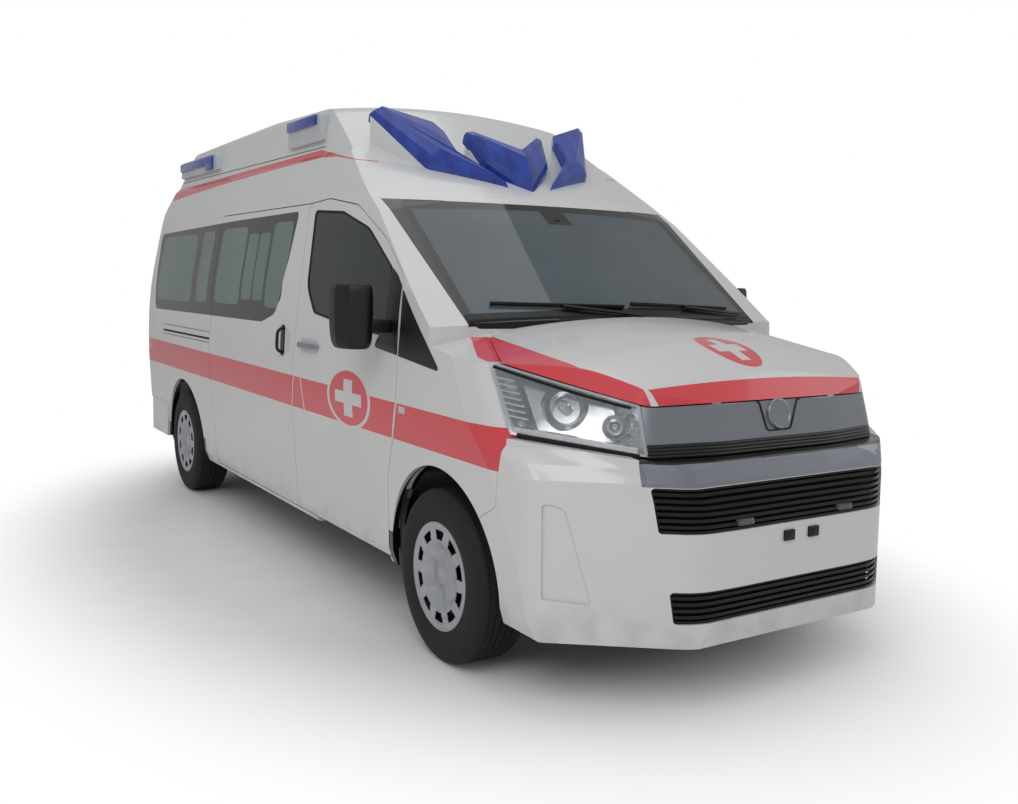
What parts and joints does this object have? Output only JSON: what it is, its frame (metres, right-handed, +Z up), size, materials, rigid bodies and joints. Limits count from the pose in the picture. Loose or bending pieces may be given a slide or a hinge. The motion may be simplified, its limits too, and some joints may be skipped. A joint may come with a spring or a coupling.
{
  "type": "high-roof van ambulance",
  "caption": "High-roof van ambulance with hinged cab doors, tailgate and bonnet, steered front wheels, roof beacons and a fitted load space.",
  "frame": {"origin": "on the ground, under the middle of the vehicle's overall box", "axes": "-Y forward, +Y to the rear, +X to the vehicle's left, +Z up"},
  "size_m": [2.3684, 5.915, 2.5312],
  "materials": {
    "body_white": "pearl white paint",
    "clear_glass": "tinted",
    "black_plastic": "grained",
    "silver_trim": "silver",
    "lamp_housing": "bright",
    "lamp_lens": "clear",
    "tail_lens": "clear red",
    "beacon_blue": "clear blue",
    "roof_white": "gel coat white",
    "rubber": "black",
    "wheel_silver": "satin silver",
    "chassis_black": "satin black",
    "cast_metal": "cast",
    "steel": "brushed",
    "seat_cloth": "woven",
    "vinyl_blue": "padded vinyl",
    "interior_grey": "grained",
    "mattress": "padded vinyl"
  },
  "bodies": {
    "body": {"body_side_left": "body_white", "body_side_right": "body_white", "sliding_door": "body_white", "cab_frame": "body_white", "front_wings": "body_white", "front_bumper": "body_white", "rear_bumper": "body_white", "high_roof": "roof_white", "side_windows": "clear_glass", "windscreen": "clear_glass", "bumper_grilles": "black_plastic", "grille_panel": "silver_trim", "headlamps": "lamp_housing", "headlamp_lenses": "lamp_lens", "tail_lamps": "tail_lens", "front_beacons": "beacon_blue", "side_strobes": "beacon_blue", "floor": "interior_grey", "chassis_frame": "chassis_black", "front_axle": "chassis_black", "rear_axle": "cast_metal", "engine": "cast_metal", "fuel_tank": "chassis_black", "exhaust": "steel", "spare_wheel": "rubber", "dashboard": "interior_grey", "steering_wheel": "black_plastic", "front_seats": "seat_cloth", "partition": "interior_grey", "bench_seat": "vinyl_blue", "stretcher": "mattress", "cabinet": "interior_grey"},
    "bonnet": {"bonnet": "body_white"},
    "door_left": {"door_left": "body_white", "door_glass_left": "clear_glass", "mirror_left": "black_plastic"},
    "door_right": {"door_right": "body_white", "door_glass_right": "clear_glass", "mirror_right": "black_plastic"},
    "tailgate": {"tailgate": "body_white", "tailgate_glass": "clear_glass"},
    "knuckle_left": {"knuckle_left": "cast_metal"},
    "knuckle_right": {"knuckle_right": "cast_metal"},
    "wheel_fl": {"wheel_fl": "wheel_silver", "tyre_fl": "rubber"},
    "wheel_fr": {"wheel_fr": "wheel_silver", "tyre_fr": "rubber"},
    "wheel_rl": {"wheel_rl": "wheel_silver", "tyre_rl": "rubber"},
    "wheel_rr": {"wheel_rr": "wheel_silver", "tyre_rr": "rubber"}
  },
  "joints": [
    {"name": "bonnet_hinge", "type": "hinge", "parent": "body", "child": "bonnet", "pos_m": [0, -1.888, 1.401], "axis": [-1, 0, 0], "range_deg": [0, 50]},
    {"name": "door_left_hinge", "type": "hinge", "parent": "body", "child": "door_left", "pos_m": [0.974, -1.593, 1.2], "axis": [0, 0, -1], "range_deg": [0, 68]},
    {"name": "door_right_hinge", "type": "hinge", "parent": "body", "child": "door_right", "pos_m": [-0.974, -1.593, 1.2], "axis": [0, 0, 1], "range_deg": [0, 68]},
    {"name": "tailgate_hinge", "type": "hinge", "parent": "body", "child": "tailgate", "pos_m": [0, 2.84, 1.9625], "axis": [1, 0, 0], "range_deg": [0, 82]},
    {"name": "steer_left", "type": "hinge", "parent": "body", "child": "knuckle_left", "pos_m": [0.755, -1.9425, 0.215], "axis": [-0.2119, 0, 0.9773], "range_deg": [-32, 32]},
    {"name": "steer_right", "type": "hinge", "parent": "body", "child": "knuckle_right", "pos_m": [-0.755, -1.9425, 0.215], "axis": [0.2119, 0, 0.9773], "range_deg": [-32, 32]},
    {"name": "wheel_fl_spin", "type": "hinge", "parent": "knuckle_left", "child": "wheel_fl", "pos_m": [0.835, -1.9425, 0.356], "axis": [1, 0, 0], "continuous": true},
    {"name": "wheel_fr_spin", "type": "hinge", "parent": "knuckle_right", "child": "wheel_fr", "pos_m": [-0.835, -1.9425, 0.356], "axis": [1, 0, 0], "continuous": true},
    {"name": "wheel_rl_spin", "type": "hinge", "parent": "body", "child": "wheel_rl", "pos_m": [0.835, 1.9175, 0.356], "axis": [1, 0, 0], "continuous": true},
    {"name": "wheel_rr_spin", "type": "hinge", "parent": "body", "child": "wheel_rr", "pos_m": [-0.835, 1.9175, 0.356], "axis": [1, 0, 0], "continuous": true}
  ],
  "couplings": [
    {"joint": "steer_right", "follows": "steer_left", "ratio": 1}
  ]
}
